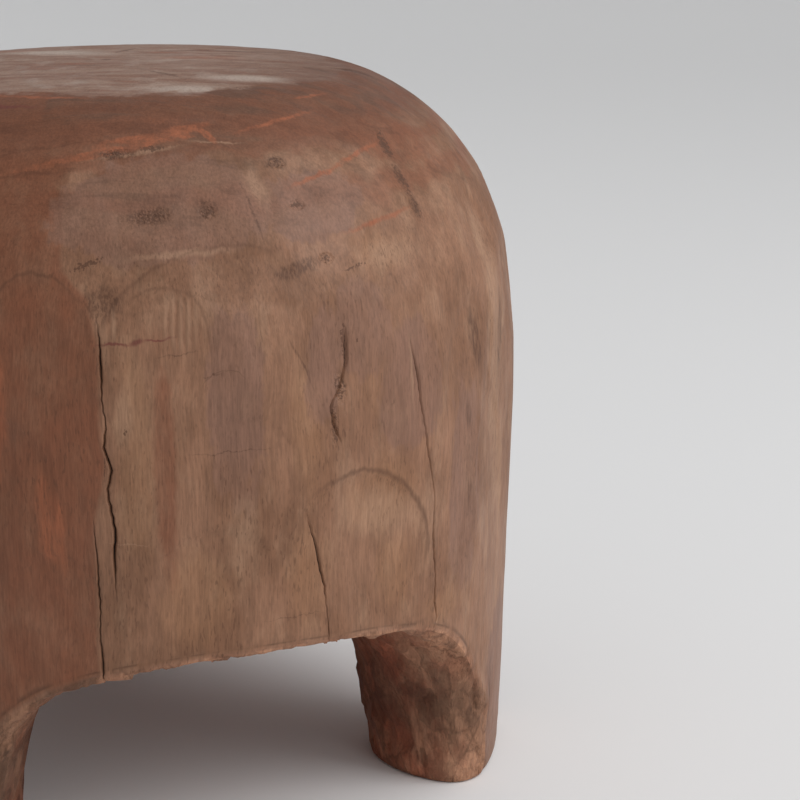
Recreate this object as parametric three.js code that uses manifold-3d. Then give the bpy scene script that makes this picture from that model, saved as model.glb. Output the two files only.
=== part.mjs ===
// A round wooden stool carved from one upright length of log.
// A domed drum is hollowed from below until it stands on three legs, with an arch between each two.
// Millimetres, +Z up. The origin is on the floor under the middle of the seat.
// Azimuths are in degrees about +Z, counted from -Y (the front) towards +X (the right).
import * as THREE from 'three';
import { mergeVertices } from 'three/addons/utils/BufferGeometryUtils.js';
import Module from 'manifold-3d';

// Drum
const stoolHeight = 420;
const drumRadius = 226.5;
const bellyHeight = 221;
const wallTaper = 7.4;
const floorRimRound = 4;
const drumSegments = 96;

// Seat and shoulder
const seatFlatRadius = 60;
const seatRadius = 124.4;
const seatFall = 3.8;
const shoulderRoundness = 1.378;
const shoulderFullness = 0.588;
const shoulderSteps = 22;

// Hollow under the seat
const hollowHeight = 127.5;

// Legs: each foot is a rounded block, wider towards the outside, and it flares up into the hollow
const footMiddleRadius = 180;
const footHalfDepth = 40;
const footOutwardGrowth = 0.31;
const flareReach = 16;
const flarePower = 0.6;
const flareSteps = 16;
const outlineSteps = 44;
const legs = [
  { azimuth: 84, footHalfWidth: 57.5, squareness: 2.35 },
  { azimuth: -33, footHalfWidth: 48.5, squareness: 2.2 },
  { azimuth: 205, footHalfWidth: 53, squareness: 2.3 },
];

// Adze facets: rows of shallow flats left by the tool, each so far below the top of the seat
const facetRows = [
  { belowTop: 270, count: 12, firstAzimuth: 15, depth: 1.3, tilt: 1.2 },
  { belowTop: 135, count: 15, firstAzimuth: 13, depth: 1.6, tilt: 1 },
  { belowTop: 85, count: 16, firstAzimuth: 2, depth: 1.8, tilt: 0 },
  { belowTop: 48, count: 14, firstAzimuth: 9, depth: 1.8, tilt: 0 },
  { belowTop: 20, count: 11, firstAzimuth: 20, depth: 1.4, tilt: 0 },
];
const facetStraying = 3.5;
const facetCutterSize = 300;

const woodColour = 0x82624e;
const woodRoughness = 0.62;

const wasm = await Module();
wasm.setup();

const radians = THREE.MathUtils.degToRad;

// Turns a closed three.js geometry into a solid that can be joined and cut.
function solidFrom(geometry) {
  geometry.deleteAttribute('normal');
  geometry.deleteAttribute('uv');
  const merged = mergeVertices(geometry);
  const corners = merged.index.array;
  const kept = [];
  for (let i = 0; i < corners.length; i += 3) {
    const [a, b, c] = corners.slice(i, i + 3);
    if (a !== b && b !== c && c !== a) kept.push(a, b, c);
  }
  const mesh = new wasm.Mesh({
    numProp: 3,
    vertProperties: new Float32Array(merged.attributes.position.array),
    triVerts: new Uint32Array(kept),
  });
  return new wasm.Manifold(mesh);
}

// Turns a solid back into a geometry with flat shaded faces.
function geometryFrom(solid) {
  const mesh = solid.getMesh();
  const geometry = new THREE.BufferGeometry();
  geometry.setAttribute('position', new THREE.BufferAttribute(mesh.vertProperties, mesh.numProp));
  geometry.setIndex(new THREE.BufferAttribute(mesh.triVerts, 1));
  geometry.computeVertexNormals();
  return geometry;
}

// Spins a profile of (radius, height) points about the upright axis.
function spun(profile) {
  return solidFrom(new THREE.LatheGeometry(profile, drumSegments).rotateX(Math.PI / 2));
}

// The shoulder is a quarter of a superellipse from the belly up to the edge of the seat.
function shoulderPoint(angle) {
  const seatEdgeHeight = stoolHeight - seatFall;
  const radius = seatRadius + (drumRadius - seatRadius) * Math.cos(angle) ** shoulderRoundness;
  const height = bellyHeight + (seatEdgeHeight - bellyHeight) * Math.sin(angle) ** shoulderFullness;
  return new THREE.Vector2(radius, height);
}

// The drum's outline, from the middle of its base, out, up the wall and in over the seat.
function drumProfile() {
  const floorRadius = drumRadius - wallTaper;
  const points = [new THREE.Vector2(0, 0)];
  for (const turn of [0, 45, 90]) {
    const out = floorRimRound * (1 - Math.sin(radians(turn)));
    const up = floorRimRound * (1 - Math.cos(radians(turn)));
    points.push(new THREE.Vector2(floorRadius - out, up));
  }
  for (let i = 0; i < shoulderSteps; i++) {
    points.push(shoulderPoint((Math.PI / 2) * (i / shoulderSteps)));
  }
  for (const inward of [0, 0.35, 0.7, 1]) {
    const radius = seatRadius + (seatFlatRadius - seatRadius) * inward;
    points.push(new THREE.Vector2(radius, stoolHeight - seatFall * (1 - inward) ** 2));
  }
  points.push(new THREE.Vector2(0, stoolHeight));
  return points;
}

// The hollow before the legs are left standing in it: flat roofed, and open all round and below.
function hollowProfile() {
  const outside = drumRadius * 2;
  return [
    new THREE.Vector2(0, -stoolHeight),
    new THREE.Vector2(outside, -stoolHeight),
    new THREE.Vector2(outside, hollowHeight),
    new THREE.Vector2(0, hollowHeight),
  ];
}

// One ring of a leg: a superellipse that is wider on its outer side, grown all round by `flare`.
function legRing(leg, height, flare) {
  const ring = [];
  const halfDepth = footHalfDepth + flare;
  const halfWidth = leg.footHalfWidth + flare;
  const power = 2 / leg.squareness;
  for (let i = 0; i < outlineSteps; i++) {
    const turn = (2 * Math.PI * i) / outlineSteps;
    const depthShare = Math.sign(Math.cos(turn)) * Math.abs(Math.cos(turn)) ** power;
    const widthShare = Math.sign(Math.sin(turn)) * Math.abs(Math.sin(turn)) ** power;
    const out = footMiddleRadius + halfDepth * depthShare;
    const across = halfWidth * widthShare * (1 + footOutwardGrowth * depthShare);
    const direction = radians(leg.azimuth);
    ring.push(
      out * Math.sin(direction) + across * Math.cos(direction),
      -out * Math.cos(direction) + across * Math.sin(direction),
      height,
    );
  }
  return ring;
}

// Skins a stack of equal rings and closes both ends with a fan.
function lofted(rings) {
  const count = rings[0].length / 3;
  const last = rings.length - 1;
  const positions = rings.flat();
  const faces = [];
  for (let k = 0; k < last; k++) {
    for (let i = 0; i < count; i++) {
      const next = (i + 1) % count;
      const low = k * count;
      const high = low + count;
      faces.push(low + i, low + next, high + next, low + i, high + next, high + i);
    }
  }
  for (let i = 1; i < count - 1; i++) {
    faces.push(0, i + 1, i);
    faces.push(last * count, last * count + i, last * count + i + 1);
  }
  const geometry = new THREE.BufferGeometry();
  geometry.setAttribute('position', new THREE.Float32BufferAttribute(positions, 3));
  geometry.setIndex(faces);
  return solidFrom(geometry);
}

// A leg rises from its foot and flares ever faster until it runs out into the roof of the hollow.
function legSolid(leg) {
  const fullest = 0.985;
  const rings = [legRing(leg, -stoolHeight, 0)];
  for (let i = 0; i <= flareSteps; i++) {
    const fill = fullest * Math.sin((Math.PI / 2) * (i / flareSteps)) ** 0.9;
    const flare = flareReach * (-Math.log(1 - fill)) ** (1 / flarePower);
    rings.push(legRing(leg, hollowHeight * (fill / fullest), flare));
  }
  const widest = flareReach * (-Math.log(1 - fullest)) ** (1 / flarePower);
  rings.push(legRing(leg, stoolHeight, widest));
  return lofted(rings);
}

// A flat cutter that shaves `depth` off the drum around one point of its outline.
function facetCutter(point, outwardTilt, azimuth, depth) {
  const box = new THREE.BoxGeometry(facetCutterSize, facetCutterSize, facetCutterSize);
  box.translate(0, 0, facetCutterSize / 2 - depth);
  box.rotateX(Math.PI / 2 - outwardTilt);
  box.translate(0, -point.x, point.y);
  box.rotateZ(radians(azimuth));
  return solidFrom(box);
}

// The point of the drum's outline at a height, with the angle at which its surface looks up there.
function outlineAt(height) {
  if (height <= bellyHeight) {
    const radius = drumRadius - (wallTaper * (bellyHeight - height)) / bellyHeight;
    return { point: new THREE.Vector2(radius, height), lookUp: -Math.atan(wallTaper / bellyHeight) };
  }
  const share = (height - bellyHeight) / (stoolHeight - seatFall - bellyHeight);
  const angle = Math.asin(share ** (1 / shoulderFullness));
  const point = shoulderPoint(angle);
  const step = 0.01;
  const above = shoulderPoint(Math.min(angle + step, Math.PI / 2));
  const below = shoulderPoint(angle - step);
  return { point, lookUp: Math.atan2(below.x - above.x, above.y - below.y) };
}

// All adze facets, spaced round each row with a little straying from even steps.
function facetCutters() {
  const cutters = [];
  for (const row of facetRows) {
    const { point, lookUp } = outlineAt(stoolHeight - row.belowTop);
    for (let i = 0; i < row.count; i++) {
      const azimuth = row.firstAzimuth + (360 * i) / row.count + facetStraying * Math.sin(5 * i);
      cutters.push(facetCutter(point, lookUp + radians(row.tilt), azimuth, row.depth));
    }
  }
  return cutters;
}

// The whole stool: the drum, shaved by the adze and hollowed around its legs.
function carvedBlock() {
  let hollow = spun(hollowProfile());
  for (const leg of legs) hollow = hollow.subtract(legSolid(leg));
  let block = spun(drumProfile());
  for (const cutter of facetCutters()) block = block.subtract(cutter);
  return block.subtract(hollow);
}

const wood = new THREE.MeshStandardMaterial({
  color: woodColour,
  roughness: woodRoughness,
  metalness: 0,
});
const block = new THREE.Mesh(geometryFrom(carvedBlock()), wood);
block.name = 'carved_block';

const stool = new THREE.Group();
stool.name = 'stool';
stool.add(block);

export default stool;
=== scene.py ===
"""A round stool carved from one upright log: its worn skin, hewn legs, drying cracks, finish and stage.

Metres, +Z up. Azimuths are in degrees about +Z, counted from -Y (the front) towards +X (the right).
"""
import math
from collections import namedtuple
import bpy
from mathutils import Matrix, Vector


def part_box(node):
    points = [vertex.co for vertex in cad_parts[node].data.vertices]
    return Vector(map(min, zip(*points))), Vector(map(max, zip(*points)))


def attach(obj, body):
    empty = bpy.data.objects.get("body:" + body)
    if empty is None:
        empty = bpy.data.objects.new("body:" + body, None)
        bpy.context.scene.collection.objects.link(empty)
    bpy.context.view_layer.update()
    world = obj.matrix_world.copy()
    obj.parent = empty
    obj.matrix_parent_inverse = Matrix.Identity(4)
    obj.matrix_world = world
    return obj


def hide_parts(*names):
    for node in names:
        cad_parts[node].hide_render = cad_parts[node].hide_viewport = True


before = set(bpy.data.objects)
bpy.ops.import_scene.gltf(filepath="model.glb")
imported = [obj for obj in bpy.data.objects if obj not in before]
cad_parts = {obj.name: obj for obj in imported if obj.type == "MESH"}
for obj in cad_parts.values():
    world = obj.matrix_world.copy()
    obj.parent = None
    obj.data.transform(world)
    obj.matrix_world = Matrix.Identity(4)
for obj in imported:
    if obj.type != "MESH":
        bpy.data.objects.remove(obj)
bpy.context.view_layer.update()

from types import SimpleNamespace

import bpy
import numpy as np
from bpy.props import FloatProperty, FloatVectorProperty, IntProperty, PointerProperty

bl_info = {
    "name": "Carved Log Stool",
    "version": (1, 0, 0),
    "blender": (4, 5, 0),
    "location": "View3D > Sidebar > Stool",
    "description": "Builds a round stool carved from one log, with its wood finish and its stage",
    "category": "Add Mesh",
}

NODE = "carved_block"


def listed(kind, *rows):
    """Rows of numbers as named tuples of one kind, whose fields they fill in order."""
    return tuple(kind(*row) for row in rows)


low_corner, high_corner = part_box(NODE)
STOOL_HEIGHT = high_corner[2] - low_corner[2]
DRUM_RADIUS = (high_corner[0] - low_corner[0]) / 2

Leg = namedtuple("Leg", "azimuth half_width squareness")
LEGS = (
    Leg(azimuth=84, half_width=0.0575, squareness=2.35),
    Leg(azimuth=-33, half_width=0.0485, squareness=2.2),
    Leg(azimuth=205, half_width=0.053, squareness=2.3),
)

# Rows of shallow flats left by the adze, each facing out from a height on the drum
FacetRow = namedtuple("FacetRow", "height count first_azimuth depth tilt")
FACET_ROWS = (
    FacetRow(height=0.150, count=12, first_azimuth=15, depth=0.0013, tilt=1.2),
    FacetRow(height=0.285, count=15, first_azimuth=13, depth=0.0016, tilt=1),
    FacetRow(height=0.335, count=16, first_azimuth=2, depth=0.0018, tilt=0),
    FacetRow(height=0.372, count=14, first_azimuth=9, depth=0.0018, tilt=0),
    FacetRow(height=0.400, count=11, first_azimuth=20, depth=0.0014, tilt=0),
)
FACET_STRAYING = 3.5

# Drying cracks, as (height, azimuth) points from the top down; darkness is how strong the painted shade in
# their middles is
Crack = namedtuple("Crack", "path width depth darkness")
CRACKS = (
    Crack(((0.213, -0.4), (0.188, 0.0), (0.163, 0.2), (0.143, 0.1), (0.112, 0.5)), 0.0005, 0.002, 0.9),
    Crack(
        ((0.322, 0.4), (0.3, 1.2), (0.271, 1.3), (0.259, 1.7), (0.247, 1.4), (0.2355, 2.3),
         (0.224, 1.7), (0.199, 2.6), (0.189, 2.3), (0.163, 2.4)),
        0.0005, 0.003, 1,
    ),
    Crack(((0.209, 28.3), (0.186, 30.2), (0.16, 31.7), (0.146, 32.1), (0.126, 32.6)), 0.0004, 0.002, 0.85),
    Crack(
        ((0.306, 35.0), (0.299, 35.7), (0.283, 35.5), (0.269, 34.2), (0.26, 32.6), (0.25, 33.0),
         (0.238, 34.3)),
        0.0007, 0.002, 0.4,
    ),
    Crack(
        ((0.304, 45.9), (0.288, 46.8), (0.267, 48.1), (0.2515, 48.7), (0.22, 50.3), (0.194, 51.9),
         (0.176, 51.7), (0.148, 52.6), (0.134, 52.6), (0.123, 53.3), (0.11, 51.9)),
        0.0004, 0.002, 0.9,
    ),
    Crack(((0.345, 118), (0.29, 117.4), (0.23, 118.6), (0.17, 118.1), (0.118, 119.2)), 0.001, 0.004, 1),
    Crack(((0.26, 163), (0.21, 162.2), (0.15, 163.4), (0.1, 162.8)), 0.0007, 0.003, 0.9),
    Crack(((0.33, 238), (0.27, 239.1), (0.21, 238.3), (0.16, 239.4), (0.11, 239)), 0.001, 0.004, 1),
    Crack(((0.22, 291), (0.17, 291.8), (0.12, 291.2)), 0.0007, 0.003, 0.9),
)

# Cracks wander by so many radians, and grid lines lean aside up to so many to follow them. The lines
# crowd beside cracks and in front, where the photo looks, each over a spread in degrees
CRACK_WANDER = 0.0011
CRACK_LEAN = 0.16
CRACK_CROWDING, CRACK_SPREAD = 9, 0.5
FRONT_CROWDING, FRONT_MIDDLE, FRONT_SPREAD = 0.9, 30, 55

# Adze and gouge strokes: shallow ovals with one crisp edge, which faces up before the oval is turned; edge is
# how dark a painted shade line along it is
Stroke = namedtuple("Stroke", "azimuth height half_width half_height turn depth edge")
STROKES = listed(
    Stroke,
    (-7, 0.304, 0.027, 0.034, 22, 0.0013, 0.55), (8.6, 0.3, 0.026, 0.031, -28, 0.0012, 0.35),
    (15, 0.316, 0.054, 0.031, 18, 0.0012, 0.4), (37.5, 0.17, 0.052, 0.05, -38, 0.0016, 0.7),
    (11.0, 0.3665, 0.062, 0.04, 3, 0.0016, 0.3), (17.5, 0.275, 0.012, 0.01, 8, 0.0006, 0.5),
    (33, 0.33, 0.03, 0.02, 12, 0.0011, 0.3), (41, 0.378, 0.03, 0.022, -8, 0.0012, 0.3),
    (59, 0.372, 0.03, 0.026, -20, 0.0014, 0.3), (50, 0.338, 0.036, 0.024, 10, 0.0012, 0.3),
    (68, 0.33, 0.03, 0.03, -15, 0.0014, 0.2), (62, 0.262, 0.03, 0.045, -25, 0.0013, 0.3),
    (44, 0.285, 0.024, 0.04, 15, 0.001, 0.2), (70, 0.19, 0.026, 0.055, 10, 0.0012, 0.2),
    (20, 0.232, 0.032, 0.028, -6, 0.001, 0.25), (16, 0.17, 0.034, 0.03, 14, 0.0011, 0.2),
    (26, 0.295, 0.02, 0.03, 20, 0.0009, 0.2), (-13, 0.225, 0.03, 0.04, 15, 0.0013, 0.25),
    (-6, 0.16, 0.026, 0.03, -12, 0.0011, 0.25), (-24, 0.3, 0.034, 0.034, -10, 0.0014, 0.3),
    (-14, 0.372, 0.036, 0.024, 10, 0.0013, 0.3), (-32, 0.21, 0.034, 0.044, 10, 0.0014, 0.3),
    (84, 0.285, 0.032, 0.04, 10, 0.0014, 0.3), (20, 0.4005, 0.04, 0.014, 2, 0.0008, 0.2),
)

# Strokes on the far sides: how many, from which azimuth over how many degrees, from which height over
# how much, their half width and depth, and the half height that shrinks above a level
FAR_STROKE_COUNT, FAR_START, FAR_SWEEP = 22, 96, 222
FAR_LOWEST, FAR_CLIMB, FAR_HALF_WIDTH, FAR_DEPTH = 0.15, 0.24, 0.030, 0.0014
FAR_HALF_HEIGHT, FAR_SHRINK, FAR_SHRINK_LEVEL = 0.042, 0.15, 0.26
GOLDEN_SHARE = 0.618034

# How crisp a stroke's edge has to be for the material to paint a shade line along it
DRAWN_EDGE = 0.35

# Unevenness of the skin and of the hewn wood: how deep it goes, and how large its waves and chips are
SWAY_DEPTH, SWAY_SIZE = 0.0013, 0.060
RIPPLE_DEPTH, RIPPLE_SIZE = 0.0003, (0.007, 0.007, 0.060)
SWELL_DEPTH, SWELL_SIZE = 0.0012, 0.045
CHIP_DEPTH, CHIP_SIZE = 0.0030, (0.017, 0.017, 0.024)
SMALL_CHIP_DEPTH, SMALL_CHIP_SIZE = 0.0011, (0.009, 0.009, 0.013)
NIBBLE_DEPTH, NIBBLE_SIZE = 0.0006, 0.009
RANDOM_COUNT = 4096

# The search for the distance to a foot: between which distances, and how often they are halved
FOOT_LIMITS = (-0.036, 0.5)
FOOT_HALVINGS = 24

# The hollow: how full its flare gets, and how its rings are spaced
FULLEST = 0.985
HOLLOW_SAMPLES = 220
HOLLOW_CROWDING = 1.15

# The worn skin outside a leg: how far out it begins, and where it fades out inside the leg's half width
STRIP_RADIUS = 0.196
STRIP_FADE = (-0.016, -0.011)

# The width over which a mark's field fades, and the width under which the material draws the mark
FIELD_REACH = 0.018
FINE_MARK = 0.0035

# Of the node groups: what places an oval, and how fine the wide and the small chips are
OVAL_VECTORS = ("Vector", "Middle", "Turn", "Size")
CHIP_SCALES = (70.0, 150.0)

# The right edge of the red heartwood, as (height, azimuth) points that follow the long front crack
HEARTWOOD_EDGE = (
    (0.0, 0.5), (0.112, 0.5), (0.163, 0.2), (0.205, 0.4), (0.2355, 2.2), (0.259, 1.7), (0.3, 1.2),
    (0.322, 0.2), (0.338, -3.6), (0.372, -4.2), (0.395, -9.0), (0.42, -14.0),
)

# Its far edge: a mean azimuth, waves of so many degrees with their pace along Z and their start, and
# how much more slowly it fades than the near edge
HEARTWOOD_FAR = -74
HEARTWOOD_WAVES = ((7, 31, 0), (4, 74, 1))
HEARTWOOD_FADE = 0.25

# How gently each kind of mark fades in at its edge
MARK_SOFTNESS = {
    "heart": 0.25, "ruddy": 0.5, "gold": 0.8, "ember": 0.5, "violet": 0.24, "wine": 0.3, "pale": 0.9,
    "smudge_and_shade": 0.6, "torn": 0.9, "shade": 0.5, "chatter": 0.5,
}

# Coloured marks: soft ovals at an azimuth and a height, turned by so many degrees
Mark = namedtuple("Mark", "azimuth height half_width half_height turn", defaults=(0,))
MARKS = {
    "heart": (),
    "ruddy": listed(
        Mark,
        (3, 0.4025, 0.07, 0.015, 6), (-17, 0.388, 0.06, 0.034, 12), (38, 0.401, 0.05, 0.014),
        (58, 0.39, 0.05, 0.022, -12), (9.4, 0.232, 0.007, 0.078, 1), (150, 0.22, 0.06, 0.12),
        (232, 0.3, 0.08, 0.06), (120, 0.39, 0.08, 0.025), (205, 0.395, 0.09, 0.022),
    ),
    "gold": listed(
        Mark,
        (5.5, 0.24, 0.014, 0.08), (29, 0.25, 0.016, 0.06, 6), (40.5, 0.285, 0.016, 0.045),
        (44.5, 0.337, 0.034, 0.018, 4), (29, 0.165, 0.018, 0.04), (13, 0.16, 0.026, 0.034),
        (42, 0.205, 0.03, 0.028), (44, 0.16, 0.022, 0.03), (54, 0.13, 0.03, 0.014), (100, 0.2, 0.03, 0.08),
        (185, 0.25, 0.04, 0.08), (275, 0.26, 0.04, 0.09),
    ),
    "ember": listed(
        Mark,
        (1.0, 0.3925, 0.06, 0.0036, 12), (9.0, 0.3995, 0.034, 0.0036, 10), (17.0, 0.404, 0.018, 0.0036, 8),
        (20.2, 0.4, 0.01, 0.0036, -60), (35.0, 0.403, 0.04, 0.0022, 8), (38.0, 0.378, 0.03, 0.0024, 12),
        (48.0, 0.385, 0.032, 0.0024, 12), (-18, 0.4153, 0.04, 0.0026, 1), (49.8, 0.4115, 0.018, 0.0022),
        (45.5, 0.352, 0.036, 0.0024, 8), (-6, 0.205, 0.01, 0.034, 6), (-14, 0.26, 0.012, 0.05, -4),
        (140, 0.4, 0.04, 0.004, 6), (250, 0.39, 0.05, 0.004, -6), (200, 0.25, 0.006, 0.07),
    ),
    "violet": listed(
        Mark,
        (11.5, 0.368, 0.066, 0.034, 3), (34.0, 0.364, 0.034, 0.022, 6), (19.0, 0.262, 0.018, 0.062),
        (32.0, 0.283, 0.012, 0.038, -4), (47.0, 0.262, 0.026, 0.04), (38.5, 0.298, 0.022, 0.03),
        # The violet mark at azimuth 78 is painted shade on the right leg's outer strip
        (78.0, 0.05, 0.03, 0.06), (60.0, 0.2, 0.02, 0.07), (190, 0.37, 0.07, 0.034),
        (318, 0.3, 0.02, 0.04, 12),
    ),
    "wine": listed(
        Mark,
        (3.0, 0.3012, 0.013, 0.0012, 1), (9.0, 0.3027, 0.012, 0.001, 5), (6.0, 0.3018, 0.006, 0.002, 3),
        (-24, 0.411, 0.034, 0.003, 3),
    ),
    "pale": listed(
        Mark,
        # The pale marks at azimuths 72 and 76 are a painted highlight along the right-hand silhouette
        (4.0, 0.262, 0.007, 0.024), (46.0, 0.335, 0.03, 0.014), (72.0, 0.26, 0.02, 0.12, 3),
        (76.0, 0.185, 0.007, 0.085), (42.5, 0.193, 0.036, 0.022, -15), (25.5, 0.378, 0.01, 0.02, 10),
        (3.0, 0.311, 0.0022, 0.013), (20.0, 0.195, 0.014, 0.03, 12), (12.5, 0.345, 0.04, 0.003, 3),
        (6.5, 0.3925, 0.034, 0.0016, 9), (21.5, 0.3965, 0.02, 0.0014, -8), (47.0, 0.272, 0.0018, 0.028, 3),
        (4.4, 0.195, 0.017, 0.0004, -5), (53.0, 0.119, 0.008, 0.0006, 52), (10.0, 0.125, 0.03, 0.0035, 4),
        (71.0, 0.33, 0.014, 0.034, -8),
    ),
    "smudge_and_shade": listed(
        Mark,
        (56.0, 0.386, 0.0045, 0.014, -28), (54.6, 0.37, 0.0045, 0.014, -8), (54.4, 0.3545, 0.004, 0.01),
        (3.2, 0.392, 0.014, 0.0045, 6), (8.5, 0.364, 0.018, 0.008, 8), (17.0, 0.366, 0.009, 0.008, 8),
        (30.3, 0.385, 0.009, 0.005), (60.4, 0.236, 0.0045, 0.012), (61.4, 0.187, 0.0035, 0.012, 4),
        (63.5, 0.275, 0.008, 0.022, 10), (2.0, 0.322, 0.014, 0.012, 20), (29.5, 0.334, 0.024, 0.005, 14),
        (44.0, 0.1235, 0.034, 0.003, 3), (74.0, 0.272, 0.0046, 0.034), (87.0, 0.4145, 0.009, 0.018, 8),
        (28.5, 0.285, 0.0011, 0.023, 26), (11.3, 0.2945, 0.015, 0.0007, 5),
        (15.9, 0.283, 0.0065, 0.0007, 9), (18.0, 0.241, 0.031, 0.0006, 1), (27.0, 0.1465, 0.026, 0.0004, 0),
        # The smudge at azimuth 73 is painted shade on the right leg's outer strip
        (73.0, 0.052, 0.0042, 0.03, 1), (24.0, 0.364, 0.0012, 0.026, 10), (108, 0.3, 0.012, 0.03),
        (270, 0.24, 0.01, 0.04), (170, 0.3, 0.004, 0.03),
    ),
    "torn": listed(
        Mark,
        (86.5, 0.4155, 0.005, 0.016, 10), (3.2, 0.392, 0.012, 0.0038, 6), (9.5, 0.3945, 0.01, 0.0022, 6),
        (30.3, 0.385, 0.0075, 0.004), (31.5, 0.365, 0.006, 0.004), (-0.5, 0.341, 0.013, 0.0026, 24),
        (8.5, 0.364, 0.013, 0.006, 8), (17.0, 0.364, 0.006, 0.005, 8), (56.0, 0.386, 0.006, 0.015, -28),
        (54.6, 0.37, 0.0054, 0.015, -8), (54.4, 0.3545, 0.005, 0.011), (35.3, 0.292, 0.0026, 0.017, 3),
        (34.2, 0.269, 0.005, 0.012, 8), (33.1, 0.249, 0.0035, 0.014), (38.5, 0.331, 0.012, 0.0012, 6),
        (34.0, 0.337, 0.006, 0.004), (37.5, 0.293, 0.001, 0.0014), (4.2, 0.255, 0.0014, 0.0028, -20),
        (13.0, 0.121, 0.03, 0.0022, 4), (1.5, 0.238, 0.0006, 0.011, -7), (170, 0.3, 0.004, 0.02),
        (215, 0.36, 0.012, 0.005, 12), (130, 0.34, 0.01, 0.006), (285, 0.33, 0.006, 0.015),
    ),
    "shade": listed(
        Mark,
        (31.0, 0.287, 0.012, 0.026, 25), (28.0, 0.326, 0.018, 0.014, 10), (57.5, 0.268, 0.015, 0.055),
        (27.0, 0.378, 0.014, 0.014), (160, 0.3, 0.03, 0.04, 20), (222, 0.22, 0.02, 0.06),
        (290, 0.31, 0.03, 0.04, -20),
    ),
    "chatter": (Mark(11.8, 0.311, 0.013, 0.019),),
}

# Worn places on the seat, and a painted sheen near its front edge (the first two pale marks), in plan: a
# middle, half lengths along and across, and a turn in degrees
SeatMark = namedtuple("SeatMark", "x y half_length half_width turn")
SEAT_MARKS = {
    "pale": listed(
        SeatMark,
        (0.042, -0.107, 0.03, 0.014, 8), (0.07, -0.07, 0.036, 0.015, 6), (-0.05, 0.04, 0.05, 0.02, -14),
    ),
    "smudge_and_shade": listed(
        SeatMark,
        (0.112, -0.022, 0.02, 0.006, -40), (0.026, -0.062, 0.026, 0.0036, -50),
        (-0.023, -0.026, 0.016, 0.003, -4), (-0.082, -0.062, 0.022, 0.004, 6),
        (0.06, 0.055, 0.06, 0.006, 8),
    ),
    "ember": listed(
        SeatMark,
        (0.04, 0.012, 0.036, 0.012, 4), (-0.085, 0.06, 0.04, 0.008, -10),
    ),
    "torn": listed(
        SeatMark,
        (-0.014, 0.0, 0.003, 0.005, 20), (-0.008, 0.05, 0.003, 0.02, -20), (0.082, -0.098, 0.022, 0.008, 8),
    ),
}


def length(name, text, value):
    """A length that a user can change."""
    return FloatProperty(name=name, description=text, default=value, unit="LENGTH")


def number(name, text, value):
    """A plain number that a user can change."""
    return FloatProperty(name=name, description=text, default=value)


def count(name, text, value):
    """A whole number that a user can change."""
    return IntProperty(name=name, description=text, default=value)


def tone(name, text, value):
    """A colour that a user can change."""
    return FloatVectorProperty(name=name, description=text, default=value, size=3, subtype="COLOR")


class StoolSizes(bpy.types.PropertyGroup):
    """The stool's main sizes and the fineness of its mesh."""

    height: length("Height", "Floor to seat", STOOL_HEIGHT)
    radius: length("Radius", "Widest, at the belly", DRUM_RADIUS)
    belly: length("Belly", "Height of the widest ring", 0.221)
    taper: length("Taper", "Narrowing at the floor", 0.0074)
    seat_flat: length("Flat", "Radius of the flat seat", 0.060)
    seat_edge: length("Seat Edge", "Where the shoulder begins", 0.1244)
    seat_fall: length("Seat Fall", "Drop at the seat's edge", 0.0038)
    roundness: number("Roundness", "Power of the shoulder's width", 1.378)
    fullness: number("Fullness", "Power of the shoulder's height", 0.588)
    roof: length("Hollow", "Height of the hollow's roof", 0.1275)
    foot_middle: length("Foot Place", "Axis to foot middle", 0.180)
    foot_depth: length("Foot Depth", "Half of the foot, in to out", 0.040)
    foot_growth: number("Foot Growth", "Widening towards the outside", 0.31)
    flare_reach: length("Flare", "How fast a leg opens out", 0.016)
    flare_power: number("Flare Power", "How sharply the flare turns", 0.6)
    rim_round: length("Rim", "Rounding of the arches' rim", 0.0065)
    foot_round: length("Foot Edge", "Rounding under the feet", 0.0045)
    columns: count("Columns", "Grid lines round the stool", 528)
    seat_rows: count("Seat Rows", "Rings on the seat", 14)
    wall_rows: count("Wall Rows", "Rings from seat to rim", 108)
    hollow_rows: count("Hollow Rows", "Rings from rim to middle", 66)


class StoolColours(bpy.types.PropertyGroup):
    """The colours of the wood."""

    tan: tone("Tan", "Clean wood on the wall", (0.274, 0.138, 0.081))
    brown: tone("Brown", "Darker wood on the wall", (0.200, 0.095, 0.052))
    gold: tone("Gold", "Yellower wood", (0.302, 0.150, 0.077))
    ruddy: tone("Ruddy", "Red heartwood", (0.206, 0.075, 0.038))
    ember: tone("Ember", "Orange streaks", (0.300, 0.098, 0.046))
    violet: tone("Violet", "Greyed purple wood of the shoulder", (0.222, 0.114, 0.077))
    wine: tone("Wine", "Thin dark red veins", (0.150, 0.040, 0.030))
    pale: tone("Pale", "Dry, worn wood", (0.372, 0.218, 0.136))
    collar: tone("Collar", "Darker wood round the seat", (0.134, 0.058, 0.034))
    # Greyed worn wood on the seat, and the painted sheen near the seat's front edge
    bleached_and_sheen: tone("Bleached", "Greyed, worn places on the seat", (0.460, 0.370, 0.315))
    seat: tone("Seat", "End grain of the seat", (0.300, 0.190, 0.140))
    # Dark dirt colour, also used for painted shade: lines under the strokes' crisp edges, crevices between
    # blade chips and a leg's outer strip
    dirt_and_shade: tone("Dirt", "Dust and oil in torn places", (0.092, 0.040, 0.022))
    hewn: tone("Hewn", "Rough cut wood of the legs", (0.166, 0.050, 0.026))
    cut: tone("Cut", "Lighter cuts on the legs", (0.262, 0.134, 0.080))
    # Painted shade inside a crack
    void: tone("Void", "Inside of a crack", (0.010, 0.005, 0.004))


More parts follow.
